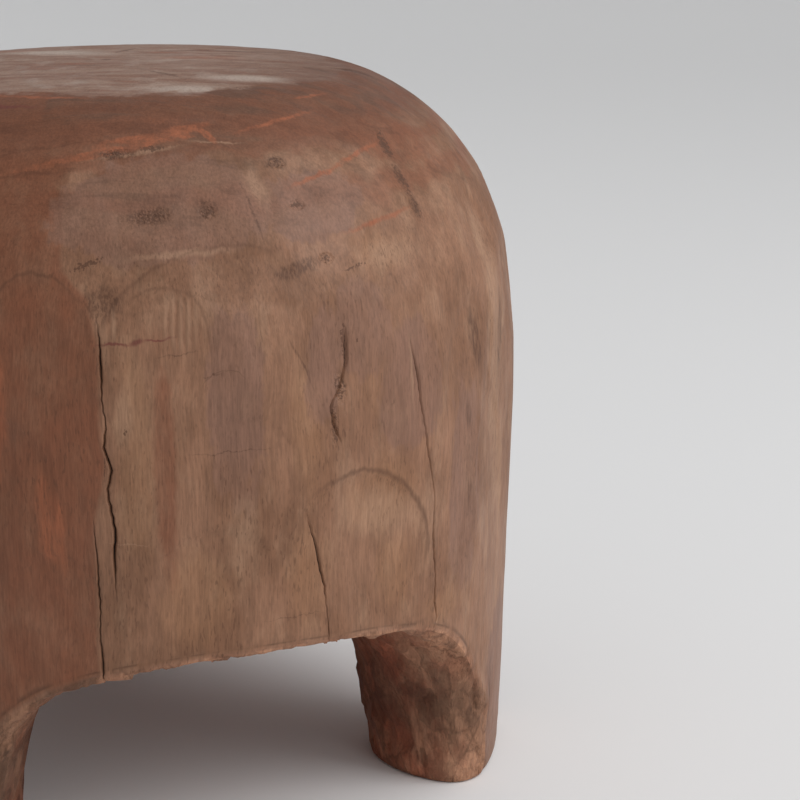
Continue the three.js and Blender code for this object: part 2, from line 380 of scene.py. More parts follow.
class StageSettings(bpy.types.PropertyGroup):
    """The camera, the lamps and the floor."""

    camera_right: length("Right", "Camera, right of the axis", 0.1577)
    camera_back: length("Distance", "Camera, before the axis", 1.4642)
    camera_height: length("Height", "Camera over the floor", 0.5902)
    camera_pitch: FloatProperty(
        name="Pitch", description="Looking down", default=math.radians(14.38), subtype="ANGLE"
    )
    camera_lens: number("Lens", "Focal length in millimetres", 112.5)
    floor_colour: tone("Floor", "Pale floor", (0.81, 0.81, 0.815))
    world_light: number("Sky", "Even light from all round", 0.40)
    key_power: number("Key", "Power of the main lamp, in watts", 21.0)
    sun_strength: number("Sun", "Strength of the broad window light", 1.3)


def scattered(corner):
    """A place in the random tables for each whole-number corner, mixed up by three large primes."""
    x, y, z = corner[..., 0], corner[..., 1], corner[..., 2]
    return (x * 73856093 ^ y * 19349663 ^ z * 83492791) & (RANDOM_COUNT - 1)


def smooth_noise(points, seed):
    """Noise from -1 to 1: random values at whole-number corners, joined by the curve 3t^2 - 2t^3."""
    table = np.random.default_rng(seed).uniform(-1, 1, RANDOM_COUNT)
    corner = np.floor(points).astype(np.int64)
    share = smooth_step(points - corner, 0, 1)
    total = np.zeros(points.shape[:-1])
    for step in np.ndindex(2, 2, 2):
        weight = np.prod(np.where(np.array(step) == 1, share, 1 - share), axis=-1)
        total += weight * table[scattered(corner + np.array(step))]
    return total


def layered_noise(points, seed, layers=3):
    """Sum of noises, each twice as fine and half as strong as the one before, over their full strength."""
    total = sum(smooth_noise(points * 2**i, seed + i) / 2**i for i in range(layers))
    return total / sum(0.5**i for i in range(layers))


def chip_field(points, seed):
    """Flat chips: each point takes a random tilt from the nearest scattered centre, from about -1 to 1."""
    table = np.random.default_rng(seed).uniform(-1, 1, (RANDOM_COUNT, 6))
    stray, lift = 0.42, 0.4
    corner = np.floor(points).astype(np.int64)
    nearest = np.full(points.shape[:-1], np.inf)
    value = np.zeros(points.shape[:-1])
    for step in np.ndindex(3, 3, 3):
        place = corner + np.array(step) - 1
        chance = table[scattered(place)]
        offset = points - (place + 0.5 + stray * chance[..., :3])
        distance = np.sum(offset * offset, axis=-1)
        tilt = np.sum(offset * chance[..., 3:], axis=-1) + lift * chance[..., 3]
        value = np.where(distance < nearest, tilt, value)
        nearest = np.minimum(nearest, distance)
    return value


def smooth_step(value, start, end):
    """0 before start, 1 after end, and the curve 3t^2 - 2t^3 between."""
    t = np.clip((value - start) / (end - start), 0, 1)
    return t * t * (3 - 2 * t)


def wrapped(angle):
    """The same angle between minus half a turn and half a turn."""
    return (angle + np.pi) % (2 * np.pi) - np.pi


def on_plan(radius, azimuth):
    """The plan point at a radius and an azimuth."""
    return radius * np.sin(azimuth), -radius * np.cos(azimuth)


def drum_line(sizes):
    """The outline from the seat's edge to the floor: radius, height, run length and outward normal.

    The shoulder is a quarter superellipse, where the radius grows with the cosine to `roundness` and the
    height falls with the sine to `fullness`. Below the belly the wall tapers in evenly.
    """
    turn = np.linspace(np.pi / 2, 0, 3000)
    top = sizes.height - sizes.seat_fall
    radius = sizes.seat_edge + (sizes.radius - sizes.seat_edge) * np.cos(turn) ** sizes.roundness
    height = sizes.belly + (top - sizes.belly) * np.sin(turn) ** sizes.fullness
    below = np.linspace(sizes.belly, 0, 1500)[1:]
    radius = np.append(radius, sizes.radius - sizes.taper * (sizes.belly - below) / sizes.belly)
    height = np.append(height, below)
    run = np.append(0, np.cumsum(np.hypot(np.diff(radius), np.diff(height))))
    across, up = -np.gradient(height, run), np.gradient(radius, run)
    length = np.hypot(across, up)
    return radius, height, run, across / length, up / length


def wall_radius(sizes, height):
    """The tapering wall's radius at heights under the belly."""
    return sizes.radius - sizes.taper * np.clip(sizes.belly - height, 0, None) / sizes.belly


def leg_frame(x, y, leg):
    """How far a plan point lies out from the axis towards a leg, and how far across it."""
    turn = math.radians(leg.azimuth)
    return x * math.sin(turn) - y * math.cos(turn), x * math.cos(turn) + y * math.sin(turn)


def leg_distance(x, y, leg, sizes):
    """How far a plan point lies outside a foot's outline, and less than zero inside it.

    The outline is a superellipse, wider on its outer side, that grows by the distance all round; the
    distance at which it passes through the point is found by halving.
    """
    out, across = leg_frame(x, y, leg)
    out = out - sizes.foot_middle
    low, high = (np.full(np.shape(x), limit) for limit in FOOT_LIMITS)
    for _ in range(FOOT_HALVINGS):
        middle = (low + high) / 2
        share = np.clip(out / (sizes.foot_depth + middle), -1.2, 1.2)
        width = (leg.half_width + middle) * (1 + sizes.foot_growth * np.clip(share, -1, 1))
        inside = np.abs(share) ** leg.squareness + np.abs(across / width) ** leg.squareness < 1
        high = np.where(inside, middle, high)
        low = np.where(inside, low, middle)
    return (low + high) / 2


def nearest_leg(x, y, sizes, blend=0.012):
    """The distance to the nearest foot, eased where two legs are equally near."""
    total = sum(np.exp(-leg_distance(x, y, leg, sizes) / blend) for leg in LEGS)
    return -blend * np.log(total)


def hollow_height(distance, sizes):
    """The hollow's height over the floor at a distance from a foot: it rises by 1 - exp(-(d/reach)^power)."""
    rise = 1 - np.exp(-((np.clip(distance, 0, None) / sizes.flare_reach) ** sizes.flare_power))
    return sizes.roof * np.clip(rise / FULLEST, 0, 1)


def rim_height(azimuth, sizes):
    """The height at which the wall meets the hollow, found by going back and forth between the two."""
    height = np.full(azimuth.shape, sizes.roof)
    for _ in range(8):
        place = on_plan(wall_radius(sizes, height), azimuth)
        height = hollow_height(nearest_leg(*place, sizes), sizes)
    return height


def crack_middle(crack):
    """The mean azimuth of a crack, in radians."""
    return math.radians(np.mean([azimuth for _, azimuth in crack.path]))


def crack_offset(azimuth, height):
    """How far the grid lines lean aside to follow the cracks, fading out to half way between them."""
    middles = [crack_middle(crack) for crack in CRACKS]
    around = [middles[-1] - 2 * np.pi, *middles, middles[0] + 2 * np.pi]
    offset = np.zeros(np.broadcast(azimuth, height).shape)
    for crack, before, middle, after in zip(CRACKS, around, middles, around[2:]):
        reach = [max(before - middle, -CRACK_LEAN), 0, min(after - middle, CRACK_LEAN)]
        share = np.interp(wrapped(azimuth - middle), reach, [0, 1, 0])
        offset = offset + share * (crack_azimuth(crack, height) - middle)
    return offset


def crack_azimuth(crack, height):
    """A crack's azimuth at a height: straight between its points, with a small quick wander."""
    heights = [h for h, _ in crack.path][::-1]
    azimuths = [math.radians(a) for _, a in crack.path][::-1]
    wander = np.sin(height * 930 + azimuths[0] * 50) + 0.6 * np.sin(height * 1730 + azimuths[0] * 90)
    return np.interp(height, heights, azimuths) + CRACK_WANDER * wander


def column_azimuths(sizes):
    """Azimuths of the grid lines: closer where the rim is steep, at the front and beside the cracks."""
    dense = np.linspace(-np.pi, np.pi, 7201)
    rim = rim_height(dense, sizes)
    steep = np.abs(np.gradient(rim, dense)) / sizes.radius
    front = 1 + FRONT_CROWDING * np.exp(-((np.degrees(dense) - FRONT_MIDDLE) / FRONT_SPREAD) ** 4)
    weight = np.clip(np.hypot(1, 0.8 * steep), 1, 5) * front
    for crack in CRACKS:
        away = np.degrees(wrapped(dense - crack_middle(crack)))
        weight = weight + CRACK_CROWDING * np.exp(-((away / CRACK_SPREAD) ** 2))
    total = np.append(0, np.cumsum((weight[1:] + weight[:-1]) / 2))
    steps = np.arange(sizes.columns) / sizes.columns * total[-1]
    return np.interp(steps, total, dense)


def hollow_radii(rim, edge, sizes):
    """Radii of the rings in the hollow, spaced by how far they lie from the rim along its surface."""
    dense_r = np.linspace(1, 0, HOLLOW_SAMPLES)[:, None] * wall_radius(sizes, rim)
    dense_z = hollow_height(nearest_leg(*on_plan(dense_r, edge), sizes), sizes)
    travelled = np.hypot(np.diff(dense_r, axis=0), np.diff(dense_z, axis=0))
    travelled = np.vstack([np.zeros(sizes.columns), np.cumsum(travelled, axis=0)])
    wanted = np.linspace(0, 1, sizes.hollow_rows + 1)[1:-1] ** HOLLOW_CROWDING
    after = np.stack([(travelled < share * travelled[-1]).sum(axis=0) for share in wanted])
    start, end = (np.take_along_axis(travelled, row, axis=0) for row in (after - 1, after))
    share = (wanted[:, None] * travelled[-1] - start) / np.maximum(end - start, 1e-9)
    before_r, after_r = (np.take_along_axis(dense_r, row, axis=0) for row in (after - 1, after))
    return before_r * (1 - share) + after_r * share


def ring_grid(sizes):
    """The stool's surface as rings from the seat's middle, over the rim, to the hollow's middle.

    Gives points (rings, columns, 3), the drum's outward normal, the run down the outline from the
    seat's edge, whether a ring is in the hollow, and the azimuths. Rings are evenly spaced along the
    surface.
    """
    radius, height, run, across, up = drum_line(sizes)
    base = column_azimuths(sizes)
    level = np.zeros(sizes.columns)
    edge = base + crack_offset(base, rim_height(base, sizes))
    rim = rim_height(edge, sizes)
    rim_run = np.interp(-rim, -height, run)

    seat = np.linspace(0, 1, sizes.seat_rows + 1)[1:, None] * sizes.seat_edge
    fall = np.clip((seat - sizes.seat_flat) / (sizes.seat_edge - sizes.seat_flat), 0, None)
    seat_azimuth = base + crack_offset(base, sizes.height)
    seat_slope = 2 * sizes.seat_fall * fall / (sizes.seat_edge - sizes.seat_flat)

    runs = np.linspace(0, 1, sizes.wall_rows + 1)[1:, None] * rim_run
    wall_z = np.interp(runs, run, height)
    hollow_r = hollow_radii(rim, edge, sizes)

    rings_r = np.vstack([seat + level, np.interp(runs, run, radius), hollow_r])
    rings_a = np.vstack([seat_azimuth + 0 * seat, base + crack_offset(base, wall_z), edge + 0 * hollow_r])
    x, y = on_plan(rings_r, rings_a)
    hollow = np.arange(len(rings_r)) >= sizes.seat_rows + sizes.wall_rows
    hollow_z = hollow_height(nearest_leg(x[hollow], y[hollow], sizes), sizes)
    z = np.vstack([sizes.height - sizes.seat_fall * fall**2 + level, wall_z, hollow_z])
    normal_r = np.vstack([seat_slope + level, np.interp(runs, run, across), 1 + 0 * hollow_r])
    normal_z = np.vstack([1 + 0 * seat + level, np.interp(runs, run, up), 0 * hollow_r])
    run_down = np.vstack([seat - sizes.seat_edge + level, runs, rim_run + 0 * hollow_r])
    points = np.stack([x, y, z], axis=-1)
    normal = np.stack([*on_plan(normal_r, rings_a), normal_z], axis=-1)
    normal /= np.linalg.norm(normal, axis=-1, keepdims=True)
    return points, normal, run_down, hollow, rings_a


def rounded_max(a, b, width):
    """The larger of two distances with their corner rounded off, and the share of the first in it."""
    gap = np.clip(width - np.abs(a - b), 0, None)
    return np.maximum(a, b) + gap**2 / (4 * width), np.clip(0.5 + (a - b) / (2 * width), 0, 1)


def outer_strip(x, y):
    """1 on the outer side of each leg, where the drum's worn skin runs down to the floor."""
    strip = np.zeros(np.shape(x))
    for leg in LEGS:
        out, across = leg_frame(x, y, leg)
        fade = smooth_step(np.abs(across) - leg.half_width, *STRIP_FADE)
        strip = np.maximum(strip, (1 - fade) * (out > STRIP_RADIUS))
    return strip


def hollow_distance(x, y, z, sizes):
    """How far points lie outside the hollow, with its normal there.

    Near a foot the distance is taken sideways to the flare at the point's height, and elsewhere
    upwards to the hollow over the point; both are then measured square to the surface.
    """
    step = 0.0005
    near = nearest_leg(x, y, sizes)
    slope_x = (nearest_leg(x + step, y, sizes) - near) / step
    slope_y = (nearest_leg(x, y + step, sizes) - near) / step
    size = np.maximum(np.hypot(slope_x, slope_y), 0.2)
    away = np.clip(near, step, None)
    climb = (hollow_height(away + step, sizes) - hollow_height(away, sizes)) / step
    fill = np.clip(z / sizes.roof * FULLEST, 0, FULLEST - 0.0001)
    flare = sizes.flare_reach * (-np.log(1 - fill)) ** (1 / sizes.flare_power)
    secant = np.sqrt(1 + climb**2)
    sideways = (near - flare) * climb / secant
    upwards = (hollow_height(near, sizes) - z) / secant
    distance = np.where(near > 0.006, upwards, sideways)
    normal = np.stack([slope_x / size * climb, slope_y / size * climb, -np.ones_like(z)], axis=-1)
    return distance, normal / secant[..., None]


def round_the_edges(points, normal, hollow, sizes):
    """Rounds the arches' rims and the feet's lower edges.

    Three distances are taken at each point: to the drum, to the hollow and to the floor. Their rounded
    maximum is above zero near an edge, and the point moves back by it along the blended normal.
    """
    x, y, z = points[..., 0], points[..., 1], points[..., 2]
    to_hollow, hollow_normal = hollow_distance(x, y, z, sizes)
    to_drum = np.where(hollow[:, None], np.hypot(x, y) - wall_radius(sizes, z), 0.0)
    over_arch = smooth_step(z, 0.075, 0.115)
    width = sizes.rim_round * (0.45 + 0.55 * over_arch)
    first, share = rounded_max(to_drum, to_hollow, width)
    blended = share[..., None] * normal + (1 - share[..., None]) * hollow_normal
    second, side_share = rounded_max(first, -z, sizes.foot_round)
    blended = side_share[..., None] * blended + (1 - side_share[..., None]) * np.array([0, 0, -1.0])
    length = np.linalg.norm(blended, axis=-1, keepdims=True)
    distance = np.clip(second, 0, 0.02)[..., None]
    moved = points - distance * blended / np.maximum(length, 0.3) ** 2
    hewn = smooth_step(to_hollow - to_drum, -0.0045, 0.0005) * (1 - outer_strip(x, y))
    rim = np.clip(1 - np.abs(to_drum - to_hollow) / width, 0, 1) * smooth_step(z, 0.006, 0.02)
    sole = (1 - side_share) ** 2
    return moved, blended / np.maximum(length, 1e-9), hewn, rim, sole


def facet_depth(points, normal, sizes):
    """How deep the adze flats lie under the round drum.

    Each flat is a plane just inside the drum's surface; the depth is the largest height of the point
    over any of the planes, and nothing where it lies under them all.
    """
    radius, height, _, across, up = drum_line(sizes)
    deepest = np.zeros(points.shape[:-1])
    for row in FACET_ROWS:
        r, out, top = (np.interp(-row.height, -height, line) for line in (radius, across, up))
        look = math.atan2(top, out) + math.radians(row.tilt)
        for i in range(row.count):
            azimuth = row.first_azimuth + 360 * i / row.count + FACET_STRAYING * math.sin(5 * i)
            azimuth = math.radians(azimuth)
            face = np.array([*on_plan(math.cos(look), azimuth), math.sin(look)])
            middle = np.array([*on_plan(r, azimuth), row.height])
            over = (points - middle) @ face + row.depth
            facing = np.clip(normal @ face, 0.5, 1)
            deepest = np.maximum(deepest, over / facing)
    return deepest


def crack_depth(azimuth_grid, points, sizes):
    """Depth of the cracks, and a field for their painted shade that is 1 on their middle lines and 0 at four
    widths from them.

    Across a crack the depth falls off in a V from its middle line; along it the width swells and
    shrinks and runs out at both ends.
    """
    radius = np.hypot(points[..., 0], points[..., 1])
    height = points[..., 2]
    depth = np.zeros(radius.shape)
    dark = np.zeros(radius.shape)
    for i, crack in enumerate(CRACKS):
        away = wrapped(azimuth_grid - crack_azimuth(crack, height))
        top, bottom = crack.path[0][0], crack.path[-1][0]
        along = (height - bottom) / (top - bottom)
        ends = smooth_step(along, -0.03, 0.12) * (1 - smooth_step(along, 0.78, 1.02))
        swell = 0.75 + 0.5 * np.sin(height * 92 + 2.1 * i) * np.sin(height * 37 + i)
        width = crack.width * ends * np.clip(swell, 0.35, 1.3)
        across = np.abs(away) * radius
        inside = np.clip(1 - across / np.maximum(2.0 * width, 1e-5), 0, 1)
        depth = np.maximum(depth, crack.depth * inside * ends)
        field = np.clip(1 - across / np.maximum(4.0 * width, 1e-5), 0, 1) * smooth_step(ends, 0, 0.2)
        dark = np.maximum(dark, field * (0.85 + 0.15 * crack.darkness))
    return depth, dark


def surface_place(mark, sizes):
    """Where a mark sits on the unrolled skin, and its half sizes there.

    The unrolled skin measures the azimuth times the belly's radius, and the run up from below.
    """
    radius, height, run, _, _ = drum_line(sizes)
    local = float(np.interp(-mark.height, -height, radius))
    azimuth = (mark.azimuth + 180) % 360 - 180
    middle = (math.radians(azimuth) * sizes.radius, -float(np.interp(-mark.height, -height, run)), 0.0)
    return middle, (mark.half_width * sizes.radius / local, mark.half_height, 1.0)


def inside_oval(azimuths, run_down, mark, sizes):
    """Each point's place in a mark's oval: how far inside its edge, from 1 to -1, and how far up it."""
    (across, up, _), (half_width, half_height, _) = surface_place(mark, sizes)
    turn = math.radians(mark.turn)
    dx = (azimuths * sizes.radius - across + np.pi * sizes.radius) % (2 * np.pi * sizes.radius)
    dx, dy = dx - np.pi * sizes.radius, -run_down - up
    u = (dx * math.cos(turn) + dy * math.sin(turn)) / half_width
    v = (-dx * math.sin(turn) + dy * math.cos(turn)) / half_height
    return np.clip(1 - np.hypot(u, v), -1, 1), v


def is_fine(mark):
    """Whether a mark is too thin for the mesh, so that the material draws it."""
    return min(mark.half_width, mark.half_height) < FINE_MARK


def heartwood_field(azimuths, heights, sizes):
    """How far a point lies inside the red heartwood, from 1 to -1: its far edge wanders and fades."""
    levels, edge_shade = zip(*HEARTWOOD_EDGE)
    right = np.radians(np.interp(heights, levels, edge_shade)) - azimuths
    wander = sum(size * np.sin(heights * pace + start) for size, pace, start in HEARTWOOD_WAVES)
    left = azimuths - np.radians(HEARTWOOD_FAR + wander)
    return np.clip(np.minimum(right, left * HEARTWOOD_FADE) * sizes.radius / FIELD_REACH, -1, 1)


def mark_fields(azimuths, run_down, sizes):
    """For each kind of mark, how far inside its nearest oval each point lies, from 1 to -1."""
    fields = {}
    for kind, marks in MARKS.items():
        field = np.full(azimuths.shape, -1.0)
        for mark in marks:
            if not is_fine(mark):
                inside = inside_oval(azimuths, run_down, mark, sizes)[0]
                steepness = max(1.0, min(mark.half_width, mark.half_height) / FIELD_REACH)
                field = np.maximum(field, np.clip(inside * steepness, -1, 1))
        fields[kind] = field
    return fields


def far_strokes():
    """Adze strokes for the sides and the back, scattered by the golden ratio."""
    strokes = []
    for i in range(FAR_STROKE_COUNT):
        spread = (i * GOLDEN_SHARE) % 1
        level = (i * (1 - GOLDEN_SHARE) + 0.13) % 1
        height = FAR_LOWEST + FAR_CLIMB * level
        half_height = FAR_HALF_HEIGHT - FAR_SHRINK * max(0.0, height - FAR_SHRINK_LEVEL)
        azimuth, turn = FAR_START + FAR_SWEEP * spread, 50 * (spread - level)
        strokes.append(Stroke(azimuth, height, FAR_HALF_WIDTH, half_height, turn, FAR_DEPTH, edge=0))
    return strokes


def stroke_depth(azimuths, run_down, sizes):
    """Depth of the adze strokes: bowls, deepest at a crisp upper edge, that run out below."""
    depth = np.zeros(azimuths.shape)
    for stroke in (*STROKES, *far_strokes()):
        inside, up = inside_oval(azimuths, run_down, stroke, sizes)
        bowl = smooth_step(inside, 0, 0.10) * np.clip(0.5 + 0.5 * up, 0, 1)
        depth = np.maximum(depth, stroke.depth * bowl)
    return depth


def carve(sizes):
    """The finished surface: points (rings, columns, 3) and its masks, worked out in whole arrays."""
    points, normal, run_down, hollow, azimuths = ring_grid(sizes)
    moved, outward, hewn, rim, sole = round_the_edges(points, normal, hollow, sizes)
    skin = (1 - hewn) * (1 - sole)
    reach, high = np.hypot(points[..., 0], points[..., 1]), points[..., 2]
    seat_part = np.where(run_down < 0, smooth_step(reach, 0.03, 0.09), 1.0)

    depth = facet_depth(points, normal, sizes) * skin * np.where(run_down < 0, 0, 1)
    sway = 0.5 - 0.5 * layered_noise(points / SWAY_SIZE, 1)
    ripple = 0.5 - 0.5 * layered_noise(points / np.array(RIPPLE_SIZE), 5, 2)
    depth = depth + (SWAY_DEPTH * sway + RIPPLE_DEPTH * ripple) * skin * seat_part
    depth = depth + stroke_depth(azimuths, run_down, sizes) * skin * seat_part
    cracks, dark = crack_depth(azimuths, points, sizes)
    open_skin = np.where(hollow[:, None], smooth_step(reach, 0.200, 0.215), 1.0)
    depth = depth + cracks * open_skin * (1 - sole)

    cut = hewn * (1 - sole) * (1 - 0.7 * rim) * smooth_step(high, 0.001, 0.012)
    swell = layered_noise(points / SWELL_SIZE, 21)
    chips = chip_field(points / np.array(CHIP_SIZE), 23)
    small_chips = chip_field(points / np.array(SMALL_CHIP_SIZE), 29)
    depth = depth + cut * (SWELL_DEPTH * swell + CHIP_DEPTH * chips + SMALL_CHIP_DEPTH * small_chips)
    depth = depth + rim * (1 - sole) * NIBBLE_DEPTH * layered_noise(points / NIBBLE_SIZE, 33, 2)
    carved = moved - depth[..., None] * outward
    carved[..., 2] = np.maximum(carved[..., 2], 0)
    shoulder = smooth_step(high, 0.335, 0.372) * smooth_step(reach, sizes.seat_edge - 0.01, sizes.seat_edge)
    masks = {"hewn": hewn, "rim": rim, "crack": dark * open_skin, "shoulder": shoulder, "run": run_down}
    masks.update(mark_fields(azimuths, run_down, sizes))
    masks["heart"] = heartwood_field(wrapped(azimuths), high, sizes)
    return carved, masks


def ring_faces(rings, columns):
    """Quads between neighbouring rings, wound to face out, and a fan to the pole at either end."""
    ring, column = np.meshgrid(np.arange(rings - 1), np.arange(columns), indexing="ij")
    after = (column + 1) % columns
    here, below = ring * columns, (ring + 1) * columns
    quads = np.stack([here + column, below + column, below + after, here + after], axis=-1).reshape(-1, 4)
    line = np.arange(columns)
    top, bottom = rings * columns, rings * columns + 1
    last = (rings - 1) * columns
    first_fan = np.stack([np.full(columns, top), line, (line + 1) % columns], axis=-1)
    last_fan = np.stack([np.full(columns, bottom), last + (line + 1) % columns, last + line], axis=-1)
    return quads, np.vstack([first_fan, last_fan])


def surface_mesh(name, grid, masks):
    """A closed mesh from rings of points, with a pole at each end and one attribute for each mask."""
    rings, columns, _ = grid.shape
    poles = np.stack([grid[0].mean(axis=0), grid[-1].mean(axis=0)])
    points = np.vstack([grid.reshape(-1, 3), poles])
    quads, fans = ring_faces(rings, columns)
    mesh = bpy.data.meshes.new(name)
    mesh.vertices.add(len(points))
    mesh.vertices.foreach_set("co", points.astype(np.float32).ravel())
    corners = np.concatenate([quads.ravel(), fans.ravel()]).astype(np.int32)
    starts = np.concatenate([np.arange(len(quads)) * 4, len(quads) * 4 + np.arange(len(fans)) * 3])
    mesh.loops.add(len(corners))
    mesh.loops.foreach_set("vertex_index", corners)
    mesh.polygons.add(len(starts))
    mesh.polygons.foreach_set("loop_start", starts.astype(np.int32))
    mesh.update(calc_edges=True)
    mesh.validate()
    mesh.polygons.foreach_set("use_smooth", np.ones(len(mesh.polygons), dtype=bool))
    for kind, mask in masks.items():
        ends = [mask[0].mean(), mask[-1].mean()]
        layer = mesh.attributes.new(kind, "FLOAT", "POINT")
        layer.data.foreach_set("value", np.append(mask.ravel(), ends).astype(np.float32))
    mesh.update()
    return mesh


class Graph:
    """Adds nodes to a tree and joins them, so that a material reads as a list of steps."""

    def __init__(self, tree):
        self.tree = tree

    def add(self, kind, settings=None, **inputs):
        node = self.tree.nodes.new(kind)
        for name, value in (settings or {}).items():
            setattr(node, name, value)
        for name, value in inputs.items():
            self.feed(node.inputs[name.replace("_", " ")], value)
        return node

    def feed(self, socket, value):
        if isinstance(value, bpy.types.NodeSocket):
            self.tree.links.new(value, socket)
        elif socket.type == "RGBA" and len(value) == 3:
            socket.default_value = (*value, 1.0)
        else:
            socket.default_value = value

    def math(self, operation, a, b=0.0, c=0.0, clamp=False):
        node = self.tree.nodes.new("ShaderNodeMath")
        node.operation, node.use_clamp = operation, clamp
        for socket, value in zip(node.inputs, (a, b, c)):
            self.feed(socket, value)
        return node.outputs[0]

    def times(self, a, b):
        return self.math("MULTIPLY", a, b)

    def times_add(self, a, b, c, clamp=False):
        return self.math("MULTIPLY_ADD", a, b, c, clamp)

    def larger(self, a, b):
        return self.math("MAXIMUM", a, b)

    def vector(self, operation, *values, scale=None, output=0):
        node = self.add("ShaderNodeVectorMath", {"operation": operation})
        for socket, value in zip(node.inputs, values):
            self.feed(socket, value)
        if scale is not None:
            self.feed(node.inputs["Scale"], scale)
        return node.outputs[output]

    def moved(self, vector, amount, reach):
        return self.vector("MULTIPLY_ADD", amount, reach, vector)

    def length(self, vector):
        return self.vector("LENGTH", vector, output=1)

    def placed(self, given):
        """Coordinates measured from an oval's middle, along and across it, in its half sizes."""
        return self.add(
            "ShaderNodeMapping", {"vector_type": "TEXTURE"}, Vector=given["Vector"],
            Location=given["Middle"], Rotation=given["Turn"], Scale=given["Size"],
        ).outputs[0]

    def group(self, tree, **inputs):
        return self.add("ShaderNodeGroup", {"node_tree": tree}, **inputs)

    def oval(self, tree, vector, middle, size, turn):
        """A soft oval at a place, turned by so many degrees."""
        turn = (0, 0, math.radians(turn))
        node = self.group(tree, Vector=vector, Middle=middle, Size=size, Turn=turn, Softness=0.8)
        return node.outputs[0]

    def tinted(self, colour, shade):
        """A colour made darker or lighter by a factor."""
        grey = self.add("ShaderNodeCombineColor", Red=shade, Green=shade, Blue=shade).outputs[0]
        return self.mix(1.0, colour, grey, "MULTIPLY")

    def mix(self, share, a, b, blend="MIX"):
        node = self.tree.nodes.new("ShaderNodeMix")
        node.data_type, node.blend_type = "RGBA", blend
        self.feed(node.inputs[0], share)
        self.feed(node.inputs[6], a)
        self.feed(node.inputs[7], b)
        return node.outputs[2]

    def span(self, value, start, end, low=0.0, high=1.0):
        """Goes smoothly from low to high as a value goes from start to end."""
        node = self.add("ShaderNodeMapRange", {"interpolation_type": "SMOOTHSTEP"})
        for socket, number in zip(node.inputs, (value, start, end, low, high)):
            self.feed(socket, number)
        return node.outputs[0]

    def broken(self, mask, pattern, *limits):
        """A mask broken up by a pattern that is spread between limits."""
        return self.times(mask, self.span(pattern, *limits))

    def stretched(self, coordinates, scale):
        return self.add("ShaderNodeMapping", Vector=coordinates, Scale=scale).outputs[0]

    def noise(self, coordinates, scale, detail=3.0, roughness=0.55, distortion=0.0):
        return self.rough_noise(coordinates, scale, detail, roughness, distortion).outputs["Fac"]

    def rough_noise(self, coordinates, scale, detail, roughness, distortion=0.0):
        return self.add(
            "ShaderNodeTexNoise", Vector=coordinates, Scale=scale, Detail=detail,
            Roughness=roughness, Distortion=distortion,
        )

    def attribute(self, name):
        return self.add("ShaderNodeAttribute", {"attribute_name": name}).outputs["Fac"]


def new_material(name):
    """A material with nodes, its shader and the graph of its tree."""
    material = bpy.data.materials.new(name)
    material.use_nodes = True
    return material, material.node_tree.nodes["Principled BSDF"], Graph(material.node_tree)


def make_group(name, vectors, values, outputs):
    """An empty shader node group with vector inputs, value inputs with their defaults and value outputs.

    Gives its graph, the sockets that carry its inputs and the sockets that take its outputs.
    """
    group = bpy.data.node_groups.new(name, "ShaderNodeTree")
    for label in vectors:
        group.interface.new_socket(label, in_out="INPUT", socket_type="NodeSocketVector")
    for label, value in values.items():
        socket = group.interface.new_socket(label, in_out="INPUT", socket_type="NodeSocketFloat")
        socket.default_value = value
    for label in outputs:
        group.interface.new_socket(label, in_out="OUTPUT", socket_type="NodeSocketFloat")
    given = group.nodes.new("NodeGroupInput").outputs
    return Graph(group), given, group.nodes.new("NodeGroupOutput").inputs


def upright_grain_group():
    """Grain of upright wood: fibres run with Z, so walls show streaks and the seat shows pores.

    Puts out soft streaks, fine fibres and small dark pores, each as a value from 0 to 1.
    """
    graph, given, wanted = make_group("upright_grain", ("Vector",), {}, ("Streak", "Fibre", "Pore"))
    vector = given["Vector"]
    bend = graph.noise(graph.stretched(vector, (1, 1, 0.5)), 14.0, 3.0)
    bent = graph.moved(vector, bend, (0.012, 0.012, 0.0))
    streaks = graph.noise(graph.stretched(bent, (1, 1, 0.14)), 150.0, 6.0, 0.68)
    fibres = graph.noise(graph.stretched(bent, (1, 1, 0.09)), 800.0, 3.0, 0.65)
    pores = graph.noise(graph.stretched(bent, (1, 1, 0.20)), 950.0, 1.0, 0.5)
    graph.feed(wanted["Streak"], graph.span(streaks, 0.33, 0.70))
    graph.feed(wanted["Fibre"], graph.span(fibres, 0.30, 0.70))
    graph.feed(wanted["Pore"], graph.span(pores, 0.60, 0.68))
    return graph.tree


def oval_group():
    """A soft oval: 1 inside and 0 outside, with an edge as wide as the given share of its size."""
    graph, given, wanted = make_group("oval", OVAL_VECTORS, {"Softness": 0.5}, ("Mask",))
    inner = graph.math("SUBTRACT", 1.0, given["Softness"])
    distance = graph.length(graph.placed(given))
    graph.feed(wanted["Mask"], graph.span(distance, inner, 1.0, 1.0, 0.0))
    return graph.tree


def stroke_group():
    """The thin painted shade line along the crisp upper edge of one adze stroke."""
    graph, given, wanted = make_group("stroke_edge", OVAL_VECTORS, {}, ("Edge",))
    placed = graph.placed(given)
    upward = graph.add("ShaderNodeSeparateXYZ", Vector=placed).outputs["Y"]
    away = graph.math("ABSOLUTE", graph.math("SUBTRACT", graph.length(placed), 1.0))
    line = graph.broken(graph.span(away, 0.0, 0.05, 1.0, 0.0), upward, 0.1, 0.75)
    graph.feed(wanted["Edge"], line)
    return graph.tree


